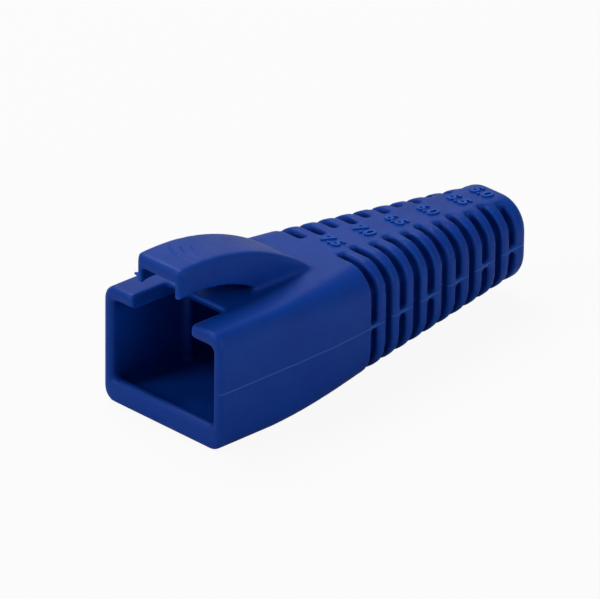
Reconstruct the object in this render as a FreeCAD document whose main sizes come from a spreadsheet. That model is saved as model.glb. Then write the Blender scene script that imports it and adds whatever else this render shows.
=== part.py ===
import FreeCAD, Part
import math
import os

import Sketcher
from FreeCAD import Vector

# Strain relief boot for an eight-way modular plug: one soft moulding.
# Working frame: X across, Y along the cable with the plug mouth at Y = 0, Z measured from the
# cable axis, which is also the mould's parting plane. The finished boot is placed so that it
# stands on the hood's underside with its box centred on the origin.

NODE = "strain_relief_boot"

# name, value in millimetres, what it sets
DIMENSIONS = [
    ("boot_length", 39.5, "mouth to cable end"),
    ("axis_height", 5.34, "cable axis above the underside"),
    ("hood_straight", 6.6, "length of the hood before its outline starts to change"),
    ("hood_corner", 1.25, "corner radius of the hood's outline"),
    ("mouth_round", 0.35, "rounding of the hood's front edge"),
    ("tip_straight", 1.2, "plain end past the tapering neck"),
    ("core_bevel", 1.35, "bevel along the corners of the groove floors"),
    ("tip_round", 0.9, "rounding of the cable end's edge"),
    ("cavity_width", 12.1, "plug pocket, between the side walls"),
    ("cavity_height", 8.28, "plug pocket, floor to roof"),
    ("side_wall", 1.01, "side walls beside the plug pocket"),
    ("cavity_corner", 0.35, "corner radius of the plug pocket"),
    ("floor_wall", 1.14, "bottom wall under the plug pocket"),
    ("roof_wall", 1.34, "top wall over the plug pocket"),
    ("cavity_depth", 13.3, "mouth to the pocket's rear wall"),
    ("sill_height", 1.0, "retaining sill across the mouth, above the pocket floor"),
    ("sill_depth", 0.9, "thickness of the sill along the cable"),
    ("lead_in", 0.35, "chamfer round the mouth"),
    ("snap_start", 8.35, "mouth to the snap ribs on the side walls"),
    ("snap_depth", 0.7, "snap rib, along the cable"),
    ("snap_height", 0.55, "snap rib, off the side wall"),
    ("slot_width", 7.1, "latch slot in the top wall"),
    ("slot_depth", 3.7, "latch slot, from the mouth"),
    ("guard_width", 5.35, "latch guard across"),
    ("guard_overhang", 0.4, "latch guard past the mouth"),
    ("guard_rise", 4.6, "top of the latch guard above the hood"),
    ("guard_radius", 21.5, "radius of the guard's back"),
    ("guard_crest", 1.65, "mouth to the crest of the guard"),
    ("guard_plate", 1.2, "thickness of the guard's roof"),
    ("guard_cheek", 0.65, "thickness of the guard's side cheeks"),
    ("cheek_drop", 2.55, "crest down to the lower edge of the cheeks"),
    ("cheek_radius", 13.0, "radius of the cheeks' lower edge"),
    ("guard_round", 0.45, "rounding of the guard's edges"),
    ("groove_count", 11, "flex grooves round the neck"),
    ("groove_start", 18.1, "mouth to the first groove"),
    ("groove_pitch", 1.889, "groove to groove"),
    ("groove_width", 0.84, "groove along the cable"),
    ("groove_deep", 0.95, "groove depth in the neck's skin"),
    ("spine_odd", 4.2, "plain spine left between the ends of grooves 1, 3, 5 ..."),
    ("spine_even", 3.4, "plain spine left between the ends of grooves 2, 4, 6 ..."),
    ("web_thick", 0.42, "web that bridges grooves 1, 3, 5 ... at the parting plane"),
    ("bore_radius", 2.5, "cable bore at the cable end"),
    ("bore_straight", 4.0, "parallel length of the cable bore"),
    ("throat_radius", 3.3, "cable duct behind the plug pocket"),
    ("throat_taper", 3.2, "length over which the duct narrows to the bore"),
]

# Outline stations behind the straight hood: position along the boot, how far the sides, the
# top and the underside have drawn in from the hood's own faces, and the corner radius.
# The last is the cable end.
STATIONS = [
    ("a", 9.6, 0.01, 0.0, 0.03, 1.6),
    ("b", 12.1, 0.07, 0.0, 0.12, 1.95),
    ("c", 14.9, 0.23, 0.01, 0.29, 2.3),
    ("d", 18.49, 0.54, 0.06, 0.48, 2.75),
    ("e", 27.93, 1.64, 0.67, 0.95, 3.0),
    ("tip", 38.3, 3.17, 1.4, 1.49, 2.85),
]

# the hood's outer faces, measured from the cable axis
HOOD_HALF = "(Dims.cavity_width / 2 + Dims.side_wall)"
HOOD_TOP = "(Dims.floor_wall + Dims.cavity_height + Dims.roof_wall - Dims.axis_height)"
POCKET_TOP = "(Dims.floor_wall + Dims.cavity_height - Dims.axis_height)"

doc = FreeCAD.newDocument("boot")
sheet = doc.addObject("Spreadsheet::Sheet", "Dims")


def fill_sheet():
    """Write every driving dimension as a plain number with an alias."""
    rows = list(DIMENSIONS)
    for tag, along, side, top, under, corner in STATIONS:
        if tag != "tip":
            rows.append(("along_" + tag, along, "outline station"))
        rows.append(("side_" + tag, side, "sides drawn in there"))
        rows.append(("top_" + tag, top, "top drawn down there"))
        rows.append(("under_" + tag, under, "underside drawn up there"))
        rows.append(("corner_" + tag, corner, "corner radius there"))
    for i, (alias, value, note) in enumerate(rows, start=1):
        sheet.set("A%d" % i, alias)
        sheet.set("B%d" % i, repr(value))
        sheet.setAlias("B%d" % i, alias)
        sheet.set("C%d" % i, note)
    doc.recompute()


def dim(alias):
    """Current value of a sheet cell."""
    return float(getattr(sheet, alias))


def pocket_top():
    """Roof of the plug pocket above the cable axis."""
    return dim("floor_wall") + dim("cavity_height") - dim("axis_height")


def hood_top():
    """Top of the hood above the cable axis."""
    return pocket_top() + dim("roof_wall")


def plane(body, role):
    """One of the body's own origin planes."""
    return [f for f in body.Origin.OriginFeatures if f.Role == role][0]


def new_body(name):
    body = doc.addObject("PartDesign::Body", name)
    doc.recompute()
    return body


def cross_sketch(body, name, along):
    """Sketch square to the cable axis; along is its position as an expression."""
    sketch = body.newObject("Sketcher::SketchObject", name)
    sketch.AttachmentSupport = (plane(body, "XZ_Plane"), [""])
    sketch.MapMode = "FlatFace"
    sketch.setExpression("AttachmentOffset.Base.z", "-(%s)" % along)
    return sketch


def side_sketch(body, name):
    """Sketch on the boot's mid plane: sketch x is Y, sketch y is Z."""
    sketch = body.newObject("Sketcher::SketchObject", name)
    sketch.AttachmentSupport = (plane(body, "YZ_Plane"), [""])
    sketch.MapMode = "FlatFace"
    return sketch


def bind(sketch, index, name, expression):
    sketch.renameConstraint(index, name)
    sketch.setExpression("Constraints." + name, expression)


def rounded_box(sketch, half, up, down, corner):
    """Rounded rectangle, symmetric about Z, sized by four expressions."""
    h, u, d, r = 5.0, 4.0, 4.0, 1.0
    pts = [(-h + r, -d), (h - r, -d), (h, -d + r), (h, u - r),
           (h - r, u), (-h + r, u), (-h, u - r), (-h, -d + r)]
    for i in range(0, 8, 2):
        a, b = pts[i], pts[i + 1]
        sketch.addGeometry(Part.LineSegment(Vector(a[0], a[1], 0), Vector(b[0], b[1], 0)), False)
    centres = [(h - r, -d + r, -90, 0), (h - r, u - r, 0, 90),
               (-h + r, u - r, 90, 180), (-h + r, -d + r, 180, 270)]
    for x, y, a0, a1 in centres:
        circle = Part.Circle(Vector(x, y, 0), Vector(0, 0, 1), r)
        sketch.addGeometry(
            Part.ArcOfCircle(circle, math.radians(a0), math.radians(a1)), False)
    for i in range(4):
        sketch.addConstraint(Sketcher.Constraint("Tangent", i, 2, 4 + i, 1))
        sketch.addConstraint(Sketcher.Constraint("Tangent", 4 + i, 2, (i + 1) % 4, 1))
    sketch.addConstraint(Sketcher.Constraint("Horizontal", 2))
    sketch.addConstraint(Sketcher.Constraint("Vertical", 1))
    sketch.addConstraint(Sketcher.Constraint("Vertical", 3))
    for i in (5, 6, 7):
        sketch.addConstraint(Sketcher.Constraint("Equal", 4, i))
    sketch.addConstraint(Sketcher.Constraint("Symmetric", 0, 1, 0, 2, -2))
    n = sketch.addConstraint(Sketcher.Constraint("Radius", 4, r))
    bind(sketch, n, "corner", corner)
    n = sketch.addConstraint(Sketcher.Constraint("DistanceX", -1, 1, 1, 1, h))
    bind(sketch, n, "half", half)
    n = sketch.addConstraint(Sketcher.Constraint("DistanceY", -1, 1, 2, 1, u))
    bind(sketch, n, "up", up)
    n = sketch.addConstraint(Sketcher.Constraint("DistanceY", 0, 1, -1, 1, d))
    bind(sketch, n, "down", down)
    return sketch


def round_sketch(body, name, along, radius):
    """Circle on the cable axis."""
    sketch = cross_sketch(body, name, along)
    sketch.addGeometry(Part.Circle(Vector(0, 0, 0), Vector(0, 0, 1), 3.0), False)
    sketch.addConstraint(Sketcher.Constraint("Coincident", 0, 3, -1, 1))
    n = sketch.addConstraint(Sketcher.Constraint("Radius", 0, 3.0))
    bind(sketch, n, "radius", radius)
    return sketch


def box_sketch(sketch, left, right, low, high):
    """Plain rectangle from four signed expressions, whose present values are also given."""
    (xl, xr, zl, zh) = [pair[0] for pair in (left, right, low, high)]
    corners = [(xl, zl), (xr, zl), (xr, zh), (xl, zh)]
    for i in range(4):
        a, b = corners[i], corners[(i + 1) % 4]
        sketch.addGeometry(Part.LineSegment(Vector(a[0], a[1], 0), Vector(b[0], b[1], 0)), False)
    for i in range(4):
        sketch.addConstraint(Sketcher.Constraint("Coincident", i, 2, (i + 1) % 4, 1))
    for i, kind in enumerate(("Horizontal", "Vertical", "Horizontal", "Vertical")):
        sketch.addConstraint(Sketcher.Constraint(kind, i))
    for name, kind, vertex, pair in (("left", "DistanceX", 0, left), ("low", "DistanceY", 0, low),
                                     ("right", "DistanceX", 2, right),
                                     ("high", "DistanceY", 2, high)):
        n = sketch.addConstraint(Sketcher.Constraint(kind, -1, 1, vertex, 1, pair[0]))
        bind(sketch, n, name, pair[1])
    return sketch


def pad(body, name, sketch, length, reverse=False, middle=False):
    feature = body.newObject("PartDesign::Pad", name)
    feature.Profile = sketch
    feature.setExpression("Length", length)
    feature.Reversed = reverse
    feature.Midplane = middle
    sketch.Visibility = False
    doc.recompute()
    return feature


def pocket(body, name, sketch, length, reverse=False, middle=False):
    """Pocket that must remove material."""
    before = body.Shape.Volume
    feature = body.newObject("PartDesign::Pocket", name)
    feature.Profile = sketch
    feature.setExpression("Length", length)
    feature.Reversed = reverse
    feature.Midplane = middle
    doc.recompute()
    if not body.Shape.Volume < before - 1e-4:
        raise RuntimeError(name + " cuts nothing")
    return feature


def edges_where(shape, test):
    """Names of the edges whose box passes the test."""
    return ["Edge%d" % i for i, e in enumerate(shape.Edges, start=1) if test(e)]


def dress(body, kind, name, edges, size):
    """Fillet or chamfer on edges of the present tip."""
    base = body.Tip
    feature = body.newObject("PartDesign::" + kind, name)
    feature.Base = (base, edges)
    feature.setExpression("Radius" if kind == "Fillet" else "Size", size)
    doc.recompute()
    return feature


def angle_of(vector):
    """Angle of a vector in the sketch plane."""
    return math.atan2(vector.y, vector.x)


def near(value, target, tolerance=0.02):
    return abs(value - target) < tolerance


def section(tag):
    """Expressions for one outline station: place, half width, top, underside, corner."""
    half, up, down = HOOD_HALF, HOOD_TOP, "Dims.axis_height"
    if tag == "hood":
        along, corner = "Dims.hood_straight", "Dims.hood_corner"
    else:
        along = "Dims.along_" + tag
        if tag == "tip":
            along = "Dims.boot_length - Dims.tip_straight"
        half, up = half + " - Dims.side_" + tag, up + " - Dims.top_" + tag
        down, corner = down + " - Dims.under_" + tag, "Dims.corner_" + tag
    return along, half, up, down, corner


def outline_loft(body, name, tags, ruled=False):
    """Loft through the outline stations, smooth or with straight flanks."""
    sketches = []
    for tag in tags:
        along, half, up, down, corner = section(tag)
        sketch = cross_sketch(body, name + "_" + tag, along)
        rounded_box(sketch, half, up, down, corner)
        sketches.append(sketch)
    doc.recompute()
    loft = body.newObject("PartDesign::AdditiveLoft", name)
    loft.Profile = sketches[0]
    loft.Sections = sketches[1:]
    loft.Ruled = ruled
    doc.recompute()
    return loft


def make_shell():
    """Hood, neck, plug pocket, latch slot and cable bore."""
    body = new_body("Shell")
    outline = cross_sketch(body, "HoodOutline", "0")
    rounded_box(outline, *section("hood")[1:])
    pad(body, "Hood", outline, "Dims.hood_straight", reverse=True)
    outline_loft(body, "Shoulder", ["hood", "a", "b", "c", "d"])
    outline_loft(body, "Neck", ["d", "e", "tip"], ruled=True)
    along, *sides = section("tip")
    end_outline = cross_sketch(body, "EndOutline", along)
    rounded_box(end_outline, *sides)
    pad(body, "End", end_outline, "Dims.tip_straight", reverse=True)

    front = edges_where(body.Shape, lambda e: near(e.BoundBox.YMin, 0) and near(e.BoundBox.YMax, 0))
    dress(body, "Fillet", "MouthRound", front, "Dims.mouth_round")
    end = dim("boot_length")
    tip = edges_where(body.Shape,
                      lambda e: near(e.BoundBox.YMin, end) and near(e.BoundBox.YMax, end))
    dress(body, "Fillet", "TipRound", tip, "Dims.tip_round")

    mouth = cross_sketch(body, "MouthOutline", "0")
    roof = POCKET_TOP
    rounded_box(mouth, "Dims.cavity_width / 2", roof,
                "Dims.axis_height - Dims.floor_wall - Dims.sill_height", "Dims.cavity_corner")
    pocket(body, "Mouth", mouth, "Dims.sill_depth + 0.2")
    cave = cross_sketch(body, "PocketOutline", "Dims.sill_depth")
    rounded_box(cave, "Dims.cavity_width / 2", roof,
                "Dims.axis_height - Dims.floor_wall", "Dims.cavity_corner")
    pocket(body, "PlugPocket", cave, "Dims.cavity_depth - Dims.sill_depth")

    turn = "Dims.boot_length - Dims.bore_straight - Dims.throat_taper"
    duct = round_sketch(body, "DuctStart", "Dims.cavity_depth - 0.5", "Dims.throat_radius")
    pocket(body, "Duct", duct, turn + " - Dims.cavity_depth + 0.5")
    wide = round_sketch(body, "TaperStart", turn, "Dims.throat_radius")
    thin = round_sketch(body, "TaperEnd", "Dims.boot_length - Dims.bore_straight",
                        "Dims.bore_radius")
    doc.recompute()
    before = body.Shape.Volume
    taper = body.newObject("PartDesign::SubtractiveLoft", "Taper")
    taper.Profile, taper.Sections, taper.Ruled = wide, [thin], True
    doc.recompute()
    if not body.Shape.Volume < before - 1:
        raise RuntimeError("Taper cuts nothing")
    bore = round_sketch(body, "BoreStart", "Dims.boot_length - Dims.bore_straight",
                        "Dims.bore_radius")
    pocket(body, "CableBore", bore, "Dims.bore_straight + 1")

    slot = cross_sketch(body, "SlotOutline", "0")
    half, low = dim("slot_width") / 2, pocket_top() - 0.5
    box_sketch(slot, (-half, "-Dims.slot_width / 2"), (half, "Dims.slot_width / 2"),
               (low, roof + " - 0.5"), (low + 4, roof + " + 3.5"))
    pocket(body, "LatchSlot", slot, "Dims.slot_depth")

    depth, wide = dim("sill_depth") + 0.2, dim("cavity_width") / 2
    lip = edges_where(body.Shape, lambda e: near(e.BoundBox.YMin, 0) and near(e.BoundBox.YMax, 0)
                      and e.BoundBox.XMax < wide + 0.02 and e.BoundBox.XMin > -wide - 0.02
                      and e.BoundBox.ZMax < pocket_top() + 0.02)
    dress(body, "Chamfer", "LeadIn", lip, "Dims.lead_in")

    for side, name in ((1, "SnapRight"), (-1, "SnapLeft")):
        sketch = cross_sketch(body, name + "Outline", "Dims.snap_start")
        inner = side * (dim("cavity_width") / 2 - dim("snap_height"))
        outer = side * (dim("cavity_width") / 2 + 0.1)
        inner = (inner, "%d * (Dims.cavity_width / 2 - Dims.snap_height)" % side)
        outer = (outer, "%d * (Dims.cavity_width / 2 + 0.1)" % side)
        left, right = (inner, outer) if side > 0 else (outer, inner)
        down, up = dim("axis_height") - dim("floor_wall"), pocket_top()
        box_sketch(sketch, left, right,
                   (-down - 0.1, "-(Dims.axis_height - Dims.floor_wall + 0.1)"),
                   (up + 0.1, roof + " + 0.1"))
        pad(body, name, sketch, "Dims.snap_depth", reverse=True)
    return body


def bevelled_box(sketch, half, up, down, bevel):
    """Eight-sided outline: a box with its corners cut at 45 degrees."""
    left, low = "-(%s)" % half, "-(%s)" % down
    inner = "(%s) - %s" % (half, bevel)
    # x expression, x now, z expression, z now
    points = [("-(%s)" % inner, -4, low, -4), (inner, 4, low, -4),
              (half, 5, low + " + " + bevel, -3), (half, 5, "(%s) - %s" % (up, bevel), 3),
              (inner, 4, up, 4), ("-(%s)" % inner, -4, up, 4),
              (left, -5, "(%s) - %s" % (up, bevel), 3), (left, -5, low + " + " + bevel, -3)]
    for i in range(8):
        a, b = points[i], points[(i + 1) % 8]
        sketch.addGeometry(Part.LineSegment(Vector(a[1], a[3], 0), Vector(b[1], b[3], 0)), False)
    for i in range(8):
        sketch.addConstraint(Sketcher.Constraint("Coincident", i, 2, (i + 1) % 8, 1))
    for i, (x_text, x, z_text, z) in enumerate(points):
        n = sketch.addConstraint(Sketcher.Constraint("DistanceX", -1, 1, i, 1, x))
        bind(sketch, n, "x%d" % i, x_text)
        n = sketch.addConstraint(Sketcher.Constraint("DistanceY", -1, 1, i, 1, z))
        bind(sketch, n, "z%d" % i, z_text)


def make_core():
    """What is left of the neck under the grooves: a tapering box with bevelled corners."""
    body = new_body("NeckCore")
    sketches = []
    for tag in ("c", "d", "e", "tip"):
        along, half, up, down, _ = section(tag)
        sketch = cross_sketch(body, "Core_" + tag, along)
        bevelled_box(sketch, half + " - Dims.groove_deep", up + " - Dims.groove_deep",
                     down + " - Dims.groove_deep", "Dims.core_bevel")
        sketches.append(sketch)
    doc.recompute()
    loft = body.newObject("PartDesign::AdditiveLoft", "Core")
    loft.Profile, loft.Sections, loft.Ruled = sketches[0], sketches[1:], True
    doc.recompute()
    return body


def make_guard():
    """Bow-shaped latch guard: rounded back, two cheeks and an open channel between them."""
    body = new_body("LatchGuard")
    sketch = side_sketch(body, "GuardProfile")
    top = hood_top()
    crest_y, crest_z = dim("guard_crest"), top + dim("guard_rise")
    big, small = dim("guard_radius"), dim("cheek_radius")
    front = -dim("guard_overhang")
    big_c = Vector(crest_y, crest_z - big, 0)
    small_c = Vector(crest_y, crest_z - dim("cheek_drop") - small, 0)
    root = top - 0.6

    def on_arc(centre, radius, y):
        return Vector(y, centre.y + (radius ** 2 - (y - centre.x) ** 2) ** 0.5, 0)

    def at_root(centre, radius):
        return Vector(centre.x + (radius ** 2 - (root - centre.y) ** 2) ** 0.5, root, 0)

    def arc_between(centre, radius, a, b):
        ends = [angle_of(p - centre) for p in (a, b)]
        circle = Part.Circle(centre, Vector(0, 0, 1), radius)
        return Part.ArcOfCircle(circle, min(ends), max(ends))

    p_front_top, p_back_top = on_arc(big_c, big, front), at_root(big_c, big)
    p_front_low, p_back_low = on_arc(small_c, small, front), at_root(small_c, small)
    sketch.addGeometry(arc_between(big_c, big, p_front_top, p_back_top), False)
    sketch.addGeometry(Part.LineSegment(p_front_top, p_front_low), False)
    sketch.addGeometry(arc_between(small_c, small, p_front_low, p_back_low), False)
    sketch.addGeometry(Part.LineSegment(p_back_low, p_back_top), False)
    # arcs run anticlockwise, so point 1 is the rear end and point 2 the front end
    for a, ap, b, bp in ((0, 2, 1, 1), (1, 2, 2, 2), (2, 1, 3, 1), (3, 2, 0, 1)):
        sketch.addConstraint(Sketcher.Constraint("Coincident", a, ap, b, bp))
    sketch.addConstraint(Sketcher.Constraint("Vertical", 1))
    sketch.addConstraint(Sketcher.Constraint("Horizontal", 3))
    for name, kind, args, text in (
            ("back", "Radius", (0, big), "Dims.guard_radius"),
            ("cheek", "Radius", (2, small), "Dims.cheek_radius"),
            ("crest", "DistanceX", (-1, 1, 0, 3, crest_y), "Dims.guard_crest"),
            ("cheek_crest", "DistanceX", (-1, 1, 2, 3, crest_y), "Dims.guard_crest"),
            ("sink", "DistanceY", (0, 3, -1, 1, -big_c.y),
             "Dims.guard_radius - (" + HOOD_TOP + " + Dims.guard_rise)"),
            ("cheek_sink", "DistanceY", (2, 3, -1, 1, -small_c.y),
             "Dims.cheek_radius + Dims.cheek_drop - (" + HOOD_TOP + " + Dims.guard_rise)"),
            ("front", "DistanceX", (1, 1, -1, 1, -front), "Dims.guard_overhang"),
            ("root", "DistanceY", (-1, 1, 3, 1, root), HOOD_TOP + " - 0.6")):
        n = sketch.addConstraint(Sketcher.Constraint(kind, *args))
        bind(sketch, n, name, text)
    doc.recompute()
    pad(body, "Bow", sketch, "Dims.guard_width", middle=True)

    # rounded outer edges: the back's two long edges, the front end's top, sides and bottom
    half = dim("guard_width") / 2
    long_edges = edges_where(body.Shape, lambda e: near(abs(e.BoundBox.XMin), half)
                             and near(e.BoundBox.XMin, e.BoundBox.XMax)
                             and e.BoundBox.ZMax > crest_z - 0.1 and e.Length > 5)
    front_edges = edges_where(body.Shape, lambda e: near(e.BoundBox.YMax, front)
                              and e.BoundBox.ZMax > crest_z - 2.3)
    dress(body, "Fillet", "GuardRound", long_edges + front_edges, "Dims.guard_round")
    return body


def cut_channel(body):
    """Open channel under the guard's back, between the cheeks."""
    sketch = side_sketch(body, "ChannelProfile")
    top = hood_top()
    radius = dim("guard_radius") - dim("guard_plate")
    centre = Vector(dim("guard_crest"), top + dim("guard_rise") - dim("guard_radius"), 0)
    low, front = top, -dim("guard_overhang") - 1.0
    a = Vector(front, centre.y + (radius ** 2 - (front - centre.x) ** 2) ** 0.5, 0)
    b = Vector(centre.x + (radius ** 2 - (low - centre.y) ** 2) ** 0.5, low, 0)
    circle = Part.Circle(centre, Vector(0, 0, 1), radius)
    sketch.addGeometry(Part.ArcOfCircle(circle, angle_of(b - centre), angle_of(a - centre)), False)
    sketch.addGeometry(Part.LineSegment(a, Vector(front, low, 0)), False)
    sketch.addGeometry(Part.LineSegment(Vector(front, low, 0), b), False)
    for g, gp, k, kp in ((0, 2, 1, 1), (1, 2, 2, 1), (2, 2, 0, 1)):
        sketch.addConstraint(Sketcher.Constraint("Coincident", g, gp, k, kp))
    sketch.addConstraint(Sketcher.Constraint("Vertical", 1))
    sketch.addConstraint(Sketcher.Constraint("Horizontal", 2))
    for name, kind, args, text in (
            ("roof", "Radius", (0, radius), "Dims.guard_radius - Dims.guard_plate"),
            ("crest", "DistanceX", (-1, 1, 0, 3, centre.x), "Dims.guard_crest"),
            ("sink", "DistanceY", (0, 3, -1, 1, -centre.y),
             "Dims.guard_radius - (" + HOOD_TOP + " + Dims.guard_rise)"),
            ("front", "DistanceX", (1, 1, -1, 1, -front), "Dims.guard_overhang + 1"),
            ("low", "DistanceY", (-1, 1, 1, 2, low), HOOD_TOP)):
        n = sketch.addConstraint(Sketcher.Constraint(kind, *args))
        bind(sketch, n, name, text)
    doc.recompute()
    pocket(body, "Channel", sketch, "Dims.guard_width - 2 * Dims.guard_cheek", middle=True)


def make_box(name, place, size):
    """Part box whose corner and size are expressions."""
    box = doc.addObject("Part::Box", name)
    for axis, text in zip("xyz", place):
        box.setExpression("Placement.Base." + axis, text)
    for prop, text in zip(("Length", "Width", "Height"), size):
        box.setExpression(prop, text)
    return box


def fuse(name, parts):
    joined = doc.addObject("Part::MultiFuse", name)
    joined.Shapes = parts
    return joined


def cut(name, base, tool):
    result = doc.addObject("Part::Cut", name)
    result.Base, result.Tool = base, tool
    doc.recompute()
    return result


def groove_cutter(name, numbers, spine, core, web):
    """Slabs square to the axis, less the neck's core, its spines and, if asked, the webs."""
    slabs = []
    for k in numbers:
        along = "Dims.groove_start + %d * Dims.groove_pitch" % k
        slabs.append(make_box("%s_%02d" % (name, k + 1), ("-10", along, "-10"),
                              ("20", "Dims.groove_width", "20")))
    keep = [core, make_box(name + "Spine", ("-%s / 2" % spine, "10", "-11"),
                           (spine, "Dims.boot_length", "22"))]
    if web:
        keep.append(make_box(name + "Web", ("-11", "10", "-Dims.web_thick / 2"),
                             ("22", "Dims.boot_length", "Dims.web_thick")))
    doc.recompute()
    return cut(name, fuse(name + "Slabs", slabs), fuse(name + "Keep", keep))


def check(objects):
    """Stop on any failed feature or bad shape."""
    for obj in doc.Objects:
        if "Invalid" in obj.State or "Error" in obj.State:
            raise RuntimeError("%s failed: %s" % (obj.Name, obj.State))
    for obj in objects:
        shape = obj.Shape
        if shape.isNull() or not shape.isValid() or len(shape.Solids) != 1:
            raise RuntimeError("%s: bad shape, %d solids" % (obj.Label, len(shape.Solids)))


fill_sheet()
shell = make_shell()
guard = make_guard()
cut_channel(guard)
core_body = make_core()

count = int(dim("groove_count"))
odd = groove_cutter("OddGroove", range(0, count, 2), "Dims.spine_odd", core_body, True)
even = groove_cutter("EvenGroove", range(1, count, 2), "Dims.spine_even", core_body, False)
blank = fuse("Blank", [shell, guard])
doc.recompute()
boot = cut("Boot", cut("HalfGrooved", blank, odd), even)
boot.Label = NODE
boot.setExpression("Placement.Base.y", "-(Dims.boot_length - Dims.guard_overhang) / 2")
boot.setExpression("Placement.Base.z", "Dims.axis_height")
doc.recompute()
check([shell, guard, core_body, boot])

box = boot.Shape.BoundBox
print("box mm", [round(v, 3) for v in (box.XMin, box.XMax, box.YMin, box.YMax, box.ZMin, box.ZMax)])
print("volume mm3", round(boot.Shape.Volume, 1), "faces", len(boot.Shape.Faces))
centre = boot.Shape.CenterOfGravity if hasattr(boot.Shape, "CenterOfGravity") else None
print("centre", centre)

os.makedirs("parts", exist_ok=True)
boot.Shape.exportStep(os.path.join("parts", NODE + ".step"))
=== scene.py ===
"""Studio scene for a soft strain relief boot: its moulding, its raised marks and the light."""

import logging
import math
from dataclasses import dataclass
from enum import Enum
from typing import Any, Callable, Sequence, Union

import bpy
from mathutils import Matrix, Vector

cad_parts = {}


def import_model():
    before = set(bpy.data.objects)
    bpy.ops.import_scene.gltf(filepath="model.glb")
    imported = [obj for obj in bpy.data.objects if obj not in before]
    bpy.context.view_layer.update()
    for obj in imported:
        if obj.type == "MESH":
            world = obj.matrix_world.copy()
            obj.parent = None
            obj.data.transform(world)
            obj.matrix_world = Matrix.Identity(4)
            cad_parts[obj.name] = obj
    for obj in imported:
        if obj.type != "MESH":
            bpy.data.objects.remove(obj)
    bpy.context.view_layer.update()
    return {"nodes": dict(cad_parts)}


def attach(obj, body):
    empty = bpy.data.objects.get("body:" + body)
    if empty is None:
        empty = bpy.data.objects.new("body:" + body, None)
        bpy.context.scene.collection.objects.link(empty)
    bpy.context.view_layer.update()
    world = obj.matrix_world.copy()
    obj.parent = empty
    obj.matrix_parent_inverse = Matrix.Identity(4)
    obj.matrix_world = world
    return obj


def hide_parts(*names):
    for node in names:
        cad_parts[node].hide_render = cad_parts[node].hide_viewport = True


LOG = logging.getLogger("strain_relief_boot")
MM = 0.001
PER_METRE = 1000.0
NOISE_MEAN = 0.5

Input = Union["Maths", bpy.types.NodeSocket, float, int, Sequence[float]]
Triple = tuple[float, float, float]
Pair = tuple[float, float]


class Maths:
    """A node socket that takes part in Python arithmetic by adding Math nodes."""

    def __init__(self, shader: "Shader", socket: bpy.types.NodeSocket) -> None:
        """Keep the socket and the material that it belongs to.

        Args:
            shader: The material under construction.
            socket: An output socket of one of its nodes.
        """
        self.shader = shader
        self.socket = socket

    def _op(self, operation: str, *values: Input) -> "Maths":
        """Add one Math node.

        Args:
            operation: The Math node's operation.
            values: Its inputs in order.

        Returns:
            The node's result.
        """
        return self.shader.node("ShaderNodeMath", {"operation": operation},
                                dict(enumerate(values)))

    def __add__(self, other: Input) -> "Maths":
        """Sum."""
        return self._op("ADD", self, other)

    def __radd__(self, other: Input) -> "Maths":
        """Sum, reflected."""
        return self._op("ADD", other, self)

    def __sub__(self, other: Input) -> "Maths":
        """Difference."""
        return self._op("SUBTRACT", self, other)

    def __rsub__(self, other: Input) -> "Maths":
        """Difference, reflected."""
        return self._op("SUBTRACT", other, self)

    def __mul__(self, other: Input) -> "Maths":
        """Product."""
        return self._op("MULTIPLY", self, other)

    def __rmul__(self, other: Input) -> "Maths":
        """Product, reflected."""
        return self._op("MULTIPLY", other, self)

    def size(self) -> "Maths":
        """Absolute value."""
        return self._op("ABSOLUTE", self)

    def ramp(self, low: float, high: float) -> "Maths":
        """Rise smoothly from 0 to 1 between two values.

        Args:
            low: Value that gives 0.
            high: Value that gives 1.

        Returns:
            The clamped result.
        """
        return self.shader.node("ShaderNodeMapRange", {"interpolation_type": "SMOOTHSTEP"},
                                {"Value": self, "From Min": low, "From Max": high})


class Shader:
    """One material's node tree, with a single method that adds any node."""

    def __init__(self, name: str) -> None:
        """Start an empty material.

        Args:
            name: The material's name.
        """
        self.material = bpy.data.materials.new(name)
        self.material.use_nodes = True
        self.tree = self.material.node_tree
        self.tree.nodes.clear()

    def node(self, kind: str, settings: dict[str, Any], inputs: dict[Any, Input],
             output: Union[int, str] = 0) -> Maths:
        """Add a node, set it and join its inputs.

        Args:
            kind: The node's type.
            settings: Properties, set before the inputs.
            inputs: Input name or number to a value, socket or Maths.
            output: Output to hand back.

        Returns:
            The chosen output, ready for arithmetic.
        """
        made = self.tree.nodes.new(kind)
        for key, value in settings.items():
            setattr(made, key, value)
        for key, value in inputs.items():
            socket = made.inputs[key]
            source = value.socket if isinstance(value, Maths) else value
            if isinstance(source, bpy.types.NodeSocket):
                self.tree.links.new(source, socket)
            else:
                socket.default_value = source
        return Maths(self, made.outputs[output])

    def mix(self, factor: Input, first: Input, second: Input) -> Maths:
        """Blend two colours.

        Args:
            factor: 0 gives the first, 1 the second.
            first: Colour at 0.
            second: Colour at 1.

        Returns:
            The blended colour.
        """
        share, from_colour, to_colour, colour = 0, 6, 7, 2
        return self.node("ShaderNodeMix", {"data_type": "RGBA"},
                         {share: factor, from_colour: first, to_colour: second}, output=colour)

    def finish(self, surface: Maths) -> bpy.types.Material:
        """Join the surface to the output.

        Args:
            surface: The closure to show.

        Returns:
            The finished material.
        """
        end = self.tree.nodes.new("ShaderNodeOutputMaterial")
        self.tree.links.new(surface.socket, end.inputs["Surface"])
        return self.material


@dataclass(frozen=True)
class Mottle:
    """One layer of noise: how fine it is, how much detail it has and how strong that is."""

    scale: float
    detail: float
    strength: float

    def lay(self, s: Shader, place: Maths) -> Maths:
        """Add the layer.

        Args:
            s: The material under construction.
            place: Object coordinates.

        Returns:
            The noise, about one half on average.
        """
        return s.node("ShaderNodeTexNoise", {}, {"Vector": place, "Scale": self.scale,
                                                 "Detail": self.detail,
                                                 "Roughness": self.strength})


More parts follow.
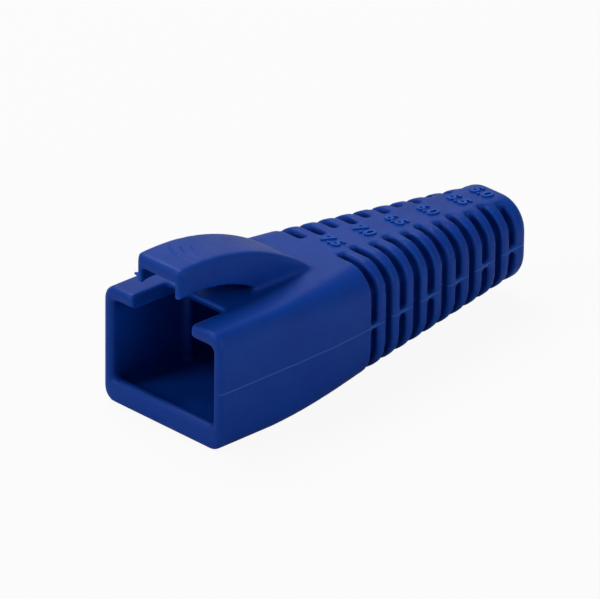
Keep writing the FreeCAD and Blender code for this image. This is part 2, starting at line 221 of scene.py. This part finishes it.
@dataclass(frozen=True)
class Nearness:
    """How near other walls stand, in metres, and how strongly that paints light or shade into
    the surface's colour.
    """

    reach: float
    band: Pair
    strength: float
    inside: bool
    samples: int = 8

    def look(self, s: Shader) -> Maths:
        """Measure how open the surface is, from within the wall for edges or from outside it.

        Args:
            s: The material under construction.

        Returns:
            1 where it is open and 0 where it is closed in.
        """
        return s.node("ShaderNodeAmbientOcclusion",
                      {"inside": self.inside, "only_local": True, "samples": self.samples},
                      {"Distance": self.reach}, output="AO")

    def painted_light_share(self, openness: Maths) -> Maths:
        """Turn that openness into the share of painted light: painted highlight on edges,
        painted shade in hollows.
        """
        return (1.0 - openness).ramp(*self.band) * self.strength


@dataclass(frozen=True)
class PartingLine:
    """The line that the mould's halves leave, level along the two sides through the webs."""

    height: float = 5.42
    sides: Pair = (1.6, 2.6)
    line: Pair = (0.02, 0.085)
    stray: float = 0.12
    wander: Mottle = Mottle(420.0, 1.0, 0.5)
    tone: float = 0.85
    relief: float = 9.0

    def mark(self, s: Shader, place: Maths, x: Maths, z: Maths) -> Maths:
        """Mark the line.

        Args:
            s: The material under construction.
            place: Object coordinates.
            x: Place across, in millimetres.
            z: Height, in millimetres.

        Returns:
            1 on the line and 0 away from it.
        """
        facing = s.node("ShaderNodeNewGeometry", {}, {}, output="Normal")
        turn = s.node("ShaderNodeSeparateXYZ", {}, {0: facing}, output="X")
        outward = (turn * x).ramp(*self.sides)
        wander = self.wander.lay(s, place)
        away = (z - self.height + (wander - NOISE_MEAN) * self.stray).size()
        return (1.0 - away.ramp(*self.line)) * outward


@dataclass(frozen=True)
class SoftVinyl:
    """Coloured soft vinyl as it leaves a fine-textured mould, with a painted highlight on its
    edges and painted shade in its hollows.
    """

    name: str = "soft_blue_vinyl"
    colour: Triple = (0.0008, 0.042, 0.305)
    deep: Triple = (0.0003, 0.029, 0.240)
    bloom: Triple = (0.008, 0.056, 0.270)
    flash: Triple = (0.022, 0.115, 0.400)
    # Painted highlight: the lighter colour that convex edges are given.
    edge: Triple = (0.0003, 0.072, 0.430)
    # Painted shade: the dark colour that grooves and hollows are given.
    painted_hollow_shade: Triple = (0.0002, 0.010, 0.110)
    cloud: Mottle = Mottle(140.0, 3.0, 0.55)
    patch: Mottle = Mottle(620.0, 4.0, 0.6)
    fine: Mottle = Mottle(5200.0, 2.0, 0.6)
    mottled: Pair = (0.35, 0.7)
    cloud_tone: float = 0.45
    patch_tone: float = 0.25
    bloomed: Pair = (0.56, 0.78)
    bloom_tone: float = 0.25
    # Painted highlight on convex edges, found by occlusion looked for from inside the wall.
    painted_edge_highlight: Nearness = Nearness(0.00045, (0.12, 0.42), 0.80, True)
    # Painted shade in grooves and hollows, found by occlusion looked for from outside the wall.
    sunk: Nearness = Nearness(0.0011, (0.22, 0.62), 0.66, False)
    seam: PartingLine = PartingLine()
    roughness: float = 0.44
    patch_roughness: float = 0.16
    fine_roughness: float = 0.10
    patch_relief: float = 1.6
    relief: float = 0.00006
    grain: float = 0.20
    gloss: float = 0.16
    refraction: float = 1.46

    def tone(self, s: Shader, cloud: Maths, patch: Maths, seam: Maths) -> Maths:
        """Blend the vinyl's colours, and paint a highlight onto edges and shade into hollows.

        Args:
            s: The material under construction.
            cloud: The broad noise.
            patch: The middling noise.
            seam: 1 on the parting line.

        Returns:
            The base colour.
        """
        tone = (cloud.ramp(*self.mottled) * self.cloud_tone
                + patch.ramp(*self.mottled) * self.patch_tone)
        base = s.mix(tone, (*self.colour, 1.0), (*self.deep, 1.0))
        base = s.mix(patch.ramp(*self.bloomed) * self.bloom_tone, base, (*self.bloom, 1.0))
        # Painted light: convex edges get a painted highlight and hollows get painted shade, by
        # how closed in they are.
        painted_edge_highlight, sunk = self.painted_edge_highlight.look(s), self.sunk.look(s)
        base = s.mix(self.painted_edge_highlight.painted_light_share(painted_edge_highlight), base, (*self.edge, 1.0))
        base = s.mix(self.sunk.painted_light_share(sunk), base, (*self.painted_hollow_shade, 1.0))
        return s.mix(seam * self.seam.tone, base, (*self.flash, 1.0))

    def build(self) -> bpy.types.Material:
        """Make the material.

        Returns:
            The finished material.
        """
        s = Shader(self.name)
        place = s.node("ShaderNodeTexCoord", {}, {}, output="Object")
        x, z = (s.node("ShaderNodeSeparateXYZ", {}, {0: place}, output=axis) * PER_METRE
                for axis in ("X", "Z"))
        cloud, patch, fine = (layer.lay(s, place)
                              for layer in (self.cloud, self.patch, self.fine))
        seam = self.seam.mark(s, place, x, z)
        base = self.tone(s, cloud, patch, seam)
        rough = (self.roughness + (patch - NOISE_MEAN) * self.patch_roughness
                 + (fine - NOISE_MEAN) * self.fine_roughness)
        height = fine + patch * self.patch_relief + seam * self.seam.relief
        bump = s.node("ShaderNodeBump", {}, {"Strength": self.grain, "Distance": self.relief,
                                             "Height": height})
        surface = s.node("ShaderNodeBsdfPrincipled", {}, {
            "Base Color": base, "Roughness": rough, "Normal": bump, "IOR": self.refraction,
            "Specular IOR Level": self.gloss})
        return s.finish(surface)


@dataclass(frozen=True)
class PalePaper:
    """Matt white paper under the object, plain white where the camera sees it."""

    name: str = "pale_paper"
    colour: Triple = (0.60, 0.60, 0.61)
    seen: Triple = (1.0, 1.0, 1.0)
    glow: float = 0.92

    def build(self) -> bpy.types.Material:
        """Make the material.

        Returns:
            The finished material.
        """
        s = Shader(self.name)
        ray = s.node("ShaderNodeLightPath", {}, {}, output="Is Camera Ray")
        paper = s.node("ShaderNodeBsdfDiffuse", {}, {"Color": (*self.colour, 1.0)})
        white = s.node("ShaderNodeEmission", {}, {"Color": (*self.seen, 1.0), "Strength": 1.0})
        return s.finish(s.node("ShaderNodeMixShader", {},
                               {0: ray * self.glow, 1: paper, 2: white}))


def add_block(middle: Vector, size: Sequence[float]) -> bpy.types.Object:
    """Add a block with its place in its mesh, and start to edit it.

    Args:
        middle: Its middle in metres.
        size: Its three edges in metres.

    Returns:
        The block, in edit mode.
    """
    bpy.ops.object.select_all(action="DESELECT")
    bpy.ops.mesh.primitive_cube_add(size=1.0)
    block = bpy.context.object
    block.data.transform(Matrix.Translation(middle) @ Matrix.Diagonal((*size, 1.0)))
    bpy.ops.object.mode_set(mode="EDIT")
    return block


def pick_faces(mesh: bpy.types.Mesh, wanted: Callable[[bpy.types.MeshPolygon], bool]) -> None:
    """Select the wanted faces and nothing else, in edit mode before and after.

    Args:
        mesh: The mesh that is edited.
        wanted: Tells whether a face is one of them.
    """
    bpy.ops.mesh.select_mode(type="FACE")
    bpy.ops.mesh.select_all(action="DESELECT")
    bpy.ops.object.mode_set(mode="OBJECT")
    for face in mesh.polygons:
        face.select = wanted(face)
    bpy.ops.object.mode_set(mode="EDIT")


def pick_points(mesh: bpy.types.Mesh, wanted: Callable[[Vector], bool]) -> None:
    """Select the wanted points and nothing else, in edit mode before and after.

    Args:
        mesh: The mesh that is edited.
        wanted: Tells whether the point at a place is one of them.
    """
    bpy.ops.mesh.select_mode(type="VERT")
    bpy.ops.mesh.select_all(action="DESELECT")
    bpy.ops.object.mode_set(mode="OBJECT")
    for vertex in mesh.vertices:
        vertex.select = wanted(vertex.co)
    bpy.ops.object.mode_set(mode="EDIT")


def hand_over(piece: bpy.types.Object, finish: bpy.types.Material) -> None:
    """Give a finished piece its material and body, and report it.

    Args:
        piece: The finished piece.
        finish: Its material.
    """
    piece.data.materials.clear()
    piece.data.materials.append(finish)
    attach(piece, "root")
    LOG.info("%s: %d faces", piece.name, len(piece.data.polygons))


@dataclass
class LatchRamp:
    """The space behind the latch slot, where the roof thins so that the latch can rise."""

    width: float = 7.1
    front: float = -17.6
    rear: float = -15.45
    ramp: float = 0.95
    low: float = 9.0
    roof_under: float = 9.48
    lip_under: float = 10.45
    high: float = 11.3
    margin: float = 0.1
    facing: float = 0.9

    def cutter(self) -> bpy.types.Object:
        """Model the space as a block with a sloping back.

        Returns:
            The cutter.
        """
        size = Vector((self.width, self.rear - self.front, self.high - self.low))
        middle = Vector((0.0, (self.rear + self.front) / 2, (self.high + self.low) / 2))
        block = add_block(middle * MM, size * MM)
        lip = self.lip_under * MM
        bpy.ops.mesh.select_all(action="SELECT")
        bpy.ops.mesh.bisect(plane_co=(0.0, 0.0, lip), plane_no=(0.0, 0.0, 1.0))
        pick_faces(block.data, lambda face: face.normal.y > self.facing and face.center.z < lip)
        bpy.ops.mesh.extrude_region_move(
            TRANSFORM_OT_translate={"value": (0.0, self.ramp * MM, 0.0)})
        pick_points(block.data, lambda place: (
            place.y > (self.rear + self.ramp / 2) * MM
            and place.z > (self.lip_under - self.margin) * MM))
        bpy.ops.transform.translate(value=(0.0, 0.0, (self.roof_under - self.lip_under) * MM))
        bpy.ops.object.mode_set(mode="OBJECT")
        return block

    def cut(self, piece: bpy.types.Object) -> None:
        """Take the space out of the boot.

        Args:
            piece: The merged copy of the solid.
        """
        block = self.cutter()
        bpy.ops.object.select_all(action="DESELECT")
        piece.select_set(True)
        bpy.context.view_layer.objects.active = piece
        taken = piece.modifiers.new("latch_ramp", "BOOLEAN")
        taken.operation, taken.solver, taken.object = "DIFFERENCE", "EXACT", block
        bpy.ops.object.modifier_apply(modifier=taken.name)
        bpy.data.objects.remove(block, do_unlink=True)


@dataclass
class GripScores:
    """Shallow curved scores in the latch guard's crown, about one centre behind them."""

    centre: Pair = (0.70, -14.66)
    first: float = 1.50
    gap: float = 0.91
    count: int = 3
    half: float = 0.17
    depth: float = 0.090
    left: float = -47.0
    right: float = 26.0
    fade: float = 12.0
    crown: float = 14.3
    spare_turn: float = 4.0
    level: float = 0.7
    divisions: int = 3

    def polar(self, point: Vector) -> Pair:
        """Give a point's distance from the centre in millimetres, and its turn in degrees."""
        x, y = point.x / MM - self.centre[0], point.y / MM - self.centre[1]
        return math.hypot(x, y), math.degrees(math.atan2(x, -y))

    def covers(self, point: Vector) -> bool:
        """Tell whether a point lies on the crown where the scores run.

        Args:
            point: A place on the moulding.

        Returns:
            True if it does.
        """
        reach, turn = self.polar(point)
        outer = self.first + (self.count - 1) * self.gap + 2 * self.half
        between = self.first - 2 * self.half < reach < outer
        turned = self.left - self.spare_turn < turn < self.right + self.spare_turn
        return between and turned and point.z > self.crown * MM

    def fall(self, point: Vector) -> float:
        """Work out how far the surface drops.

        Args:
            point: A place on the crown.

        Returns:
            The drop in metres.
        """
        reach, turn = self.polar(point)
        near = min(abs(reach - self.first - i * self.gap) for i in range(self.count))
        ends = min((turn - self.left) / self.fade, (self.right - turn) / self.fade, 1.0)
        if near >= self.half or ends <= 0.0:
            return 0.0
        return self.depth * MM * ends * (1.0 - (near / self.half) ** 2) ** 2

    def carve(self, piece: bpy.types.Object) -> None:
        """Divide the crown finely and sink the scores into it.

        Args:
            piece: The softened moulding.
        """
        mesh = piece.data
        bpy.ops.object.mode_set(mode="EDIT")
        pick_faces(mesh, lambda face: face.normal.z > self.level and self.covers(face.center))
        bpy.ops.mesh.subdivide(number_cuts=self.divisions)
        bpy.ops.object.mode_set(mode="OBJECT")
        for vertex in mesh.vertices:
            if vertex.normal.z > self.level and self.covers(vertex.co):
                vertex.co.z -= self.fall(vertex.co)
        mesh.update()


class Region(Enum):
    """A region whose edges are softened in one go, by its vertex group's name."""

    WHOLE = ""
    NECK = "neck"


@dataclass
class Moulding:
    """The one-piece boot: the carried solid with the soft edges that a vinyl moulding has."""

    name: str = "boot_moulding"
    join: float = 0.000001
    grid: float = 0.000205
    neck_from: float = -0.0022
    blend: float = 0.0014
    softness: float = 0.5
    passes: int = 2
    ease: float = 0.9999

    def copy_solid(self, solid: bpy.types.Object) -> bpy.types.Object:
        """Copy the solid and close its mesh.

        Args:
            solid: The carried solid.

        Returns:
            The copy, with its loose triangles merged.
        """
        bpy.ops.object.select_all(action="DESELECT")
        solid.select_set(True)
        bpy.context.view_layer.objects.active = solid
        bpy.ops.object.duplicate()
        piece = bpy.context.object
        piece.name = piece.data.name = self.name
        bpy.ops.object.mode_set(mode="EDIT")
        bpy.ops.mesh.select_all(action="SELECT")
        bpy.ops.mesh.remove_doubles(threshold=self.join)
        bpy.ops.object.mode_set(mode="OBJECT")
        return piece

    def mesh_evenly(self, piece: bpy.types.Object) -> None:
        """Replace the long triangles by an even, smooth-shaded grid.

        Args:
            piece: The merged copy with the latch ramp cut.
        """
        even = piece.modifiers.new("even", "REMESH")
        even.mode, even.voxel_size, even.use_smooth_shade = "VOXEL", self.grid, True
        bpy.ops.object.modifier_apply(modifier=even.name)

    def weigh_neck(self, piece: bpy.types.Object) -> None:
        """Weight the ribbed neck, fading in behind the hood.

        Args:
            piece: The evenly meshed boot.
        """
        group = piece.vertex_groups.new(name=Region.NECK.value)
        for vertex in piece.data.vertices:
            weight = (vertex.co.y - self.neck_from) / self.blend
            if weight > 0.0:
                group.add([vertex.index], min(weight, 1.0), "REPLACE")

    def soften(self, piece: bpy.types.Object, region: Region) -> None:
        """Round the edges of one region.

        Args:
            piece: The evenly meshed boot.
            region: Where to round.
        """
        smooth = piece.modifiers.new("soften_" + region.name.lower(), "SMOOTH")
        smooth.factor, smooth.iterations = self.softness, self.passes
        smooth.vertex_group = region.value
        bpy.ops.object.modifier_apply(modifier=smooth.name)

    def keep_inside(self, piece: bpy.types.Object, solid: bpy.types.Object) -> None:
        """Draw the mesh in by a hair about the solid's middle, so that it stays within the box.

        Args:
            piece: The softened moulding.
            solid: The carried solid.
        """
        corners = [Vector(corner) for corner in solid.bound_box]
        middle = sum(corners, Vector()) / len(corners)
        piece.data.transform(Matrix.Translation(middle) @ Matrix.Scale(self.ease, 4)
                             @ Matrix.Translation(-middle))

    def build(self, solid: bpy.types.Object, finish: bpy.types.Material) -> bpy.types.Object:
        """Make the moulding.

        Args:
            solid: The carried solid that it stands for.
            finish: Its material.

        Returns:
            The finished piece.
        """
        piece = self.copy_solid(solid)
        LatchRamp().cut(piece)
        self.mesh_evenly(piece)
        self.soften(piece, Region.WHOLE)
        self.weigh_neck(piece)
        self.soften(piece, Region.NECK)
        GripScores().carve(piece)
        self.keep_inside(piece, solid)
        hand_over(piece, finish)
        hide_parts("strain_relief_boot")
        return piece


@dataclass
class CheekFlash:
    """A small tag of flash where the mould's halves met at the guard's left cheek."""

    name: str = "cheek_flash"
    place: Triple = (-2.50, -19.60, 13.15)
    size: Triple = (0.60, 0.50, 0.34)
    reach: float = 0.42
    droop: float = 0.05
    tip: Triple = (1.0, 0.45, 0.5)
    facing: float = 0.9
    levels: int = 2
    crease: float = 50.0

    def build(self, finish: bpy.types.Material) -> None:
        """Model the tag.

        Args:
            finish: Its material.
        """
        piece = add_block(Vector(self.place) * MM, [edge * MM for edge in self.size])
        piece.name = piece.data.name = self.name
        pick_faces(piece.data, lambda face: face.normal.x < -self.facing)
        bpy.ops.mesh.extrude_region_move(
            TRANSFORM_OT_translate={"value": (-self.reach * MM, 0.0, -self.droop * MM)})
        bpy.ops.transform.resize(value=self.tip)
        bpy.ops.object.mode_set(mode="OBJECT")
        soft = piece.modifiers.new("soft", "SUBSURF")
        soft.levels = soft.render_levels = self.levels
        bpy.ops.object.modifier_apply(modifier=soft.name)
        bpy.ops.object.shade_smooth_by_angle(angle=math.radians(self.crease))
        hand_over(piece, finish)


@dataclass
class SizeMarks:
    """Raised cable sizes on the spine, each by the rib where the neck is cut for that cable."""

    marks: tuple[tuple[str, float], ...] = (
        ("7.5", 0.15), ("7.0", 3.93), ("6.5", 7.71), ("6.0", 11.49), ("5.5", 15.27),
        ("5.0", 18.05))
    height: float = 1.75
    proud: float = 0.11
    sunk: float = 0.10
    swell: float = 0.018
    bevel: float = 0.03
    bevel_steps: int = 1
    curve_steps: int = 4
    drop_from: float = 50.0
    crease: float = 40.0

    def one(self, text: str, along: float, boot: bpy.types.Object) -> bpy.types.Object:
        """Model one mark and seat it on the spine.

        Args:
            text: The size.
            along: Its middle along the boot, in millimetres.
            boot: The moulding that it stands on.

        Returns:
            The mark as a mesh in place.
        """
        start, down = (0.0, along * MM, self.drop_from * MM), (0.0, 0.0, -1.0)
        hit, seat, up, _ = boot.ray_cast(start, down)
        if not hit:
            raise RuntimeError(f"no spine under the mark {text}")
        bpy.ops.object.select_all(action="DESELECT")
        bpy.ops.object.text_add()
        piece = bpy.context.object
        piece.data.body, piece.data.size = text, self.height * MM
        piece.data.align_x = piece.data.align_y = "CENTER"
        piece.data.offset = self.swell * MM
        piece.data.extrude, piece.data.bevel_depth = self.proud * MM, self.bevel * MM
        piece.data.resolution_u = self.curve_steps
        piece.data.bevel_resolution = self.bevel_steps
        bpy.ops.object.convert(target="MESH")
        piece.name = piece.data.name = "size_mark_" + text.replace(".", "_")
        slope = math.atan2(-up.y, up.z)
        lift = Vector((0.0, 0.0, (self.proud - self.sunk) * MM))
        piece.data.transform(Matrix.Translation(seat + lift) @ Matrix.Rotation(slope, 4, "X"))
        return piece

    def build(self, boot: bpy.types.Object, finish: bpy.types.Material) -> None:
        """Model every mark.

        Args:
            boot: The moulding.
            finish: Its material.
        """
        for text, along in self.marks:
            piece = self.one(text, along, boot)
            bpy.ops.object.shade_smooth_by_angle(angle=math.radians(self.crease))
            hand_over(piece, finish)


@dataclass(frozen=True)
class Lamp:
    """A square soft lamp that faces the object, with its place and edge in metres."""

    name: str
    place: Triple
    edge: float
    watts: float

    def hang(self) -> None:
        """Add the lamp to the scene."""
        data = bpy.data.lights.new(self.name, "AREA")
        data.shape, data.size, data.energy = "SQUARE", self.edge, self.watts
        lamp = bpy.data.objects.new(self.name, data)
        lamp.location = self.place
        lamp.rotation_euler = (-Vector(self.place)).to_track_quat("-Z", "Y").to_euler()
        bpy.context.collection.objects.link(lamp)


@dataclass
class Studio:
    """Floor, world, lamps and camera."""

    lens: float = 480.0
    sensor: float = 36.0
    clip: Pair = (0.01, 20.0)
    azimuth: float = 45.726
    elevation: float = 26.184
    roll: float = 0.704
    distance_mm: float = 666.052
    shift_mm: Pair = (-11.483, -10.483)
    aim_mm: Triple = (0.0, -19.4, 0.04)
    floor_edge: float = 2.4
    surround: float = 0.20
    lamps: tuple[Lamp, ...] = (
        Lamp("key", (-0.45, 0.05, 0.75), 0.45, 4.5),
        Lamp("side", (0.92, 0.18, 0.42), 0.5, 3.1),
        Lamp("front", (-0.32, -0.85, 0.50), 0.4, 3.8),
        Lamp("back", (-0.62, 0.60, 0.40), 0.6, 0.75))

    def camera(self) -> None:
        """Stand the camera at the object's front right and above it."""
        a, e, r = (math.radians(v) for v in (self.azimuth, self.elevation, self.roll))
        back = Vector((math.sin(a) * math.cos(e), -math.cos(a) * math.cos(e), math.sin(e)))
        right = Vector((math.cos(a), math.sin(a), 0.0))
        up = back.cross(right)
        turned = (right * math.cos(r) + up * math.sin(r),
                  up * math.cos(r) - right * math.sin(r))
        place = (Vector(self.aim_mm) - turned[0] * self.shift_mm[0]
                 - turned[1] * self.shift_mm[1] + back * self.distance_mm) * MM
        data = bpy.data.cameras.new("camera")
        data.lens, data.sensor_width, data.sensor_fit = self.lens, self.sensor, "HORIZONTAL"
        data.clip_start, data.clip_end = self.clip
        camera = bpy.data.objects.new("camera", data)
        bpy.context.collection.objects.link(camera)
        turn = Matrix((turned[0], turned[1], back)).transposed().to_4x4()
        camera.matrix_world = Matrix.Translation(place) @ turn
        bpy.context.scene.camera = camera

    def world(self) -> None:
        """Give an even pale surround that the camera sees as white."""
        world = bpy.data.worlds.new("surround")
        bpy.context.scene.world = world
        world.use_nodes = True
        tree = world.node_tree
        ground = tree.nodes["Background"]
        ray = tree.nodes.new("ShaderNodeLightPath")
        level = tree.nodes.new("ShaderNodeMapRange")
        level.inputs["To Min"].default_value = self.surround
        level.inputs["To Max"].default_value = 1.0
        tree.links.new(ray.outputs["Is Camera Ray"], level.inputs["Value"])
        tree.links.new(level.outputs["Result"], ground.inputs["Strength"])
        ground.inputs["Color"].default_value = (1.0, 1.0, 1.0, 1.0)

    def floor(self) -> None:
        """Lay the paper flat under the object."""
        bpy.ops.object.select_all(action="DESELECT")
        bpy.ops.mesh.primitive_plane_add(size=self.floor_edge, location=(0.0, 0.0, 0.0))
        sheet = bpy.context.object
        sheet.name = "floor"
        sheet.data.materials.append(PalePaper().build())

    def build(self) -> None:
        """Set the whole studio up."""
        self.floor()
        self.world()
        for lamp in self.lamps:
            lamp.hang()
        self.camera()
        bpy.context.scene.view_settings.view_transform = "Standard"


def main() -> None:
    """Build every piece in order."""
    logging.basicConfig(level=logging.INFO, format="%(name)s: %(message)s")
    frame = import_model()
    boot = frame["nodes"]["strain_relief_boot"]
    vinyl = SoftVinyl().build()
    moulding = Moulding().build(boot, vinyl)
    CheekFlash().build(vinyl)
    SizeMarks().build(moulding, vinyl)
    Studio().build()


if __name__ == "__main__":
    main()
